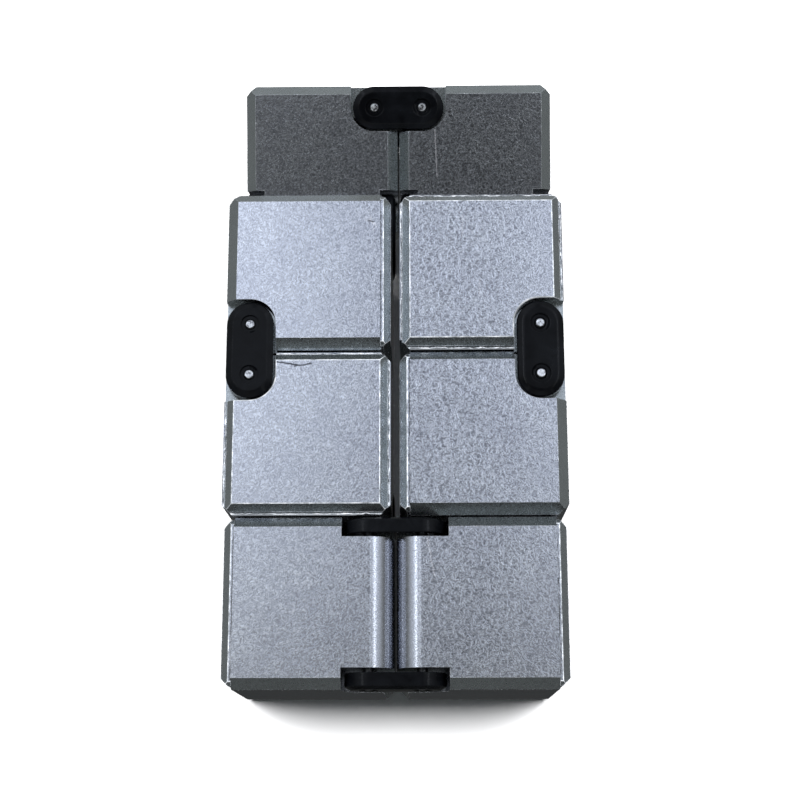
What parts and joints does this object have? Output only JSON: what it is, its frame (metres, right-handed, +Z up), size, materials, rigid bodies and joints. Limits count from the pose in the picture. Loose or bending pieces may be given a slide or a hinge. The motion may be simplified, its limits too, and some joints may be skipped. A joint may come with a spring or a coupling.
{
  "type": "folding fidget cube",
  "caption": "Folding metal block puzzle toy: hollow square blocks hinged in a ring by black double-pivot links, shown part unfolded and leaning on a table.",
  "frame": {"origin": "on the table, under the centre of the bounding box at rest", "axes": "+Z up; the front pair of blocks faces -Y, the rear pair is at +Y; +X is to the right seen from the front"},
  "size_m": [0.0406, 0.0872, 0.0311],
  "materials": {
    "shell": "bead-blasted, fine sparkling grain",
    "cover": "bead-blasted, fine sparkling grain",
    "plate": "moulded, semi-gloss",
    "pin": "bright rivet end"
  },
  "bodies": {
    "middle": {"mid_back_left_shell": "shell", "mid_back_left_cover": "cover", "mid_back_right_shell": "shell", "mid_back_right_cover": "cover", "mid_front_left_shell": "shell", "mid_front_left_cover": "cover", "mid_front_right_shell": "shell", "mid_front_right_cover": "cover", "mid_left_link_top": "plate", "mid_left_link_bottom": "plate", "mid_left_link_pins": "pin", "mid_right_link_top": "plate", "mid_right_link_bottom": "plate", "mid_right_link_pins": "pin"},
    "rear_link_left": {"rear_left_link_inner": "plate", "rear_left_link_outer": "plate", "rear_left_link_pins": "pin"},
    "rear_link_right": {"rear_right_link_outer": "plate", "rear_right_link_inner": "plate", "rear_right_link_pins": "pin"},
    "rear_pair": {"rear_left_shell": "shell", "rear_left_cover": "cover", "rear_right_shell": "shell", "rear_right_cover": "cover", "rear_bridge_top": "plate", "rear_bridge_bottom": "plate", "rear_bridge_pins": "pin"},
    "front_link_left": {"front_left_link_inner": "plate", "front_left_link_outer": "plate", "front_left_link_pins": "pin"},
    "front_link_right": {"front_right_link_outer": "plate", "front_right_link_inner": "plate", "front_right_link_pins": "pin"},
    "front_pair": {"front_left_shell": "shell", "front_left_cover": "cover", "front_right_shell": "shell", "front_right_cover": "cover", "front_bridge_back": "plate", "front_bridge_front": "plate", "front_bridge_pins": "pin"}
  },
  "joints": [
    {"name": "rear_link_left", "type": "hinge", "parent": "middle", "child": "rear_link_left", "pos_m": [-0.01, 0.0152, 0.01436], "axis": [1, 0, 0], "range_deg": [-90, 0]},
    {"name": "rear_pair_fold", "type": "hinge", "parent": "rear_link_left", "child": "rear_pair", "pos_m": [-0.01, 0.02127, 0.01563], "axis": [1, 0, 0], "range_deg": [-16, 74]},
    {"name": "rear_link_right", "type": "hinge", "parent": "middle", "child": "rear_link_right", "pos_m": [0.01, 0.0152, 0.01436], "axis": [1, 0, 0], "range_deg": [-90, 0]},
    {"name": "front_link_left", "type": "hinge", "parent": "middle", "child": "front_link_left", "pos_m": [-0.01, -0.01787, 0.00739], "axis": [1, 0, 0], "range_deg": [0, 90]},
    {"name": "front_pair_fold", "type": "hinge", "parent": "front_link_left", "child": "front_pair", "pos_m": [-0.01, -0.02394, 0.00611], "axis": [1, 0, 0], "range_deg": [0, 90]},
    {"name": "front_link_right", "type": "hinge", "parent": "middle", "child": "front_link_right", "pos_m": [0.01, -0.01787, 0.00739], "axis": [1, 0, 0], "range_deg": [0, 90]}
  ],
  "couplings": [
    {"joint": "rear_link_right", "follows": "rear_link_left", "ratio": 1},
    {"joint": "front_link_right", "follows": "front_link_left", "ratio": 1}
  ]
}
